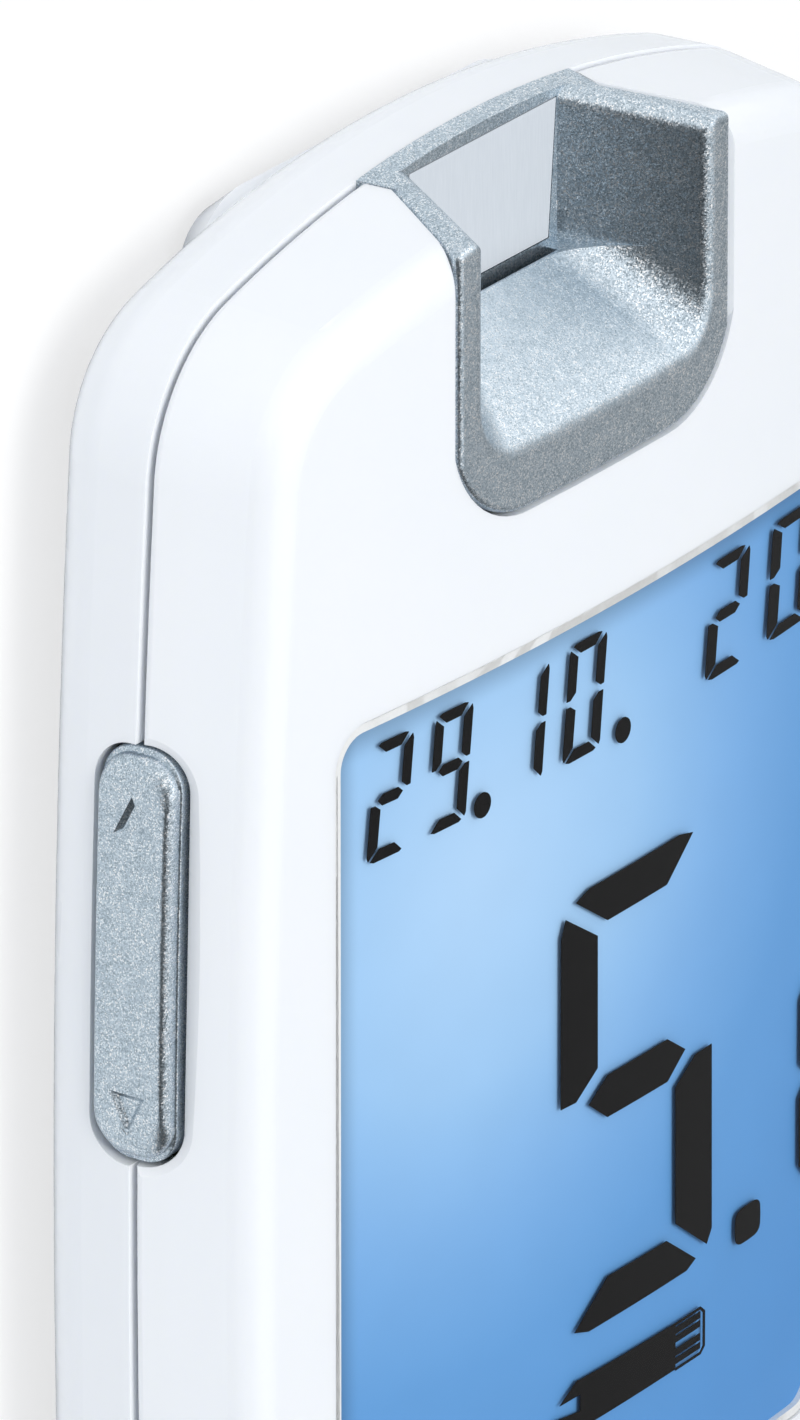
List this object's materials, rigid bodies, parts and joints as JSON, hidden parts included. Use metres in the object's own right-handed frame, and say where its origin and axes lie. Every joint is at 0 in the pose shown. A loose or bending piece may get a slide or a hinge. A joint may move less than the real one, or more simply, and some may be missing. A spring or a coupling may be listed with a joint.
{
  "type": "blood glucose meter",
  "caption": "Handheld blood glucose meter with a funnel-shaped strip port, backlit display, side keys, strip ejector and sliding battery door.",
  "frame": {"origin": "centre of the bounding box at its base, on the table under the feet", "axes": "+X to the right of a user facing the display, +Y along the length towards the strip port, +Z out of the display"},
  "size_m": [0.0532, 0.096, 0.0158],
  "materials": {
    "gloss_white": "polished white ABS",
    "silver_paint": "silver paint with metal flake on plastic",
    "guide_plate": "satin light grey",
    "black_plastic": "satin",
    "gold_contact": "gold plated",
    "clear_window": "clear hard-coated acrylic",
    "adhesive": "adhesive film",
    "lcd_cell": "liquid crystal cell with polariser",
    "white_plastic": "satin",
    "light_guide": "clear acrylic",
    "white_film": "reflective film",
    "led_body": "moulded lamp",
    "zebra_rubber": "striped conductive rubber",
    "board_laminate": "green solder mask",
    "chip_plastic": "moulded package",
    "tin_can": "tin plated",
    "ceramic_parts": "ceramic",
    "steel": "zinc plated",
    "cell_steel": "nickel plated can",
    "nickel_spring": "nickel plated spring strip",
    "foot_rubber": "soft rubber"
  },
  "bodies": {
    "housing": {"front_cover": "gloss_white", "rear_cover": "gloss_white", "port_bezel": "silver_paint", "port_guide_plate": "guide_plate", "strip_connector": "black_plastic", "strip_contacts": "gold_contact", "display_window": "clear_window", "window_adhesive": "adhesive", "lcd_glass": "lcd_cell", "lcd_holder": "white_plastic", "backlight_guide": "light_guide", "backlight_reflector": "white_film", "backlight_leds": "led_body", "zebra_strip": "zebra_rubber", "circuit_board": "board_laminate", "microcontroller": "chip_plastic", "memory_chip": "chip_plastic", "crystal": "tin_can", "board_components": "ceramic_parts", "buzzer": "black_plastic", "rocker_pin": "steel", "rocker_switches": "black_plastic", "power_switch": "black_plastic", "coin_cells": "cell_steel", "battery_face_contacts": "nickel_spring", "battery_rim_contacts": "nickel_spring", "data_socket": "black_plastic", "housing_screws": "steel", "board_screws": "steel", "rubber_feet": "foot_rubber"},
    "rocker": {"rocker_key": "silver_paint"},
    "power_button": {"power_button": "silver_paint"},
    "ejector": {"ejector_slider": "silver_paint", "ejector_carriage": "black_plastic"},
    "door": {"battery_door": "gloss_white"}
  },
  "joints": [
    {"name": "rocker_pivot", "type": "hinge", "parent": "housing", "child": "rocker", "pos_m": [-0.0237, 0.0157, 0.00825], "axis": [0, 0, 1], "range_deg": [-2.2, 2.2], "stiffness_Nm_per_rad": 0.1},
    {"name": "power_push", "type": "slide", "parent": "housing", "child": "power_button", "axis": [-1, 0, 0], "range_m": [0, 0.0005], "stiffness_N_per_m": 1500},
    {"name": "ejector_slide", "type": "slide", "parent": "housing", "child": "ejector", "axis": [0, 1, 0], "range_m": [0, 0.005]},
    {"name": "battery_door_slide", "type": "slide", "parent": "housing", "child": "door", "axis": [0, -1, 0], "range_m": [0, 0.04]}
  ]
}
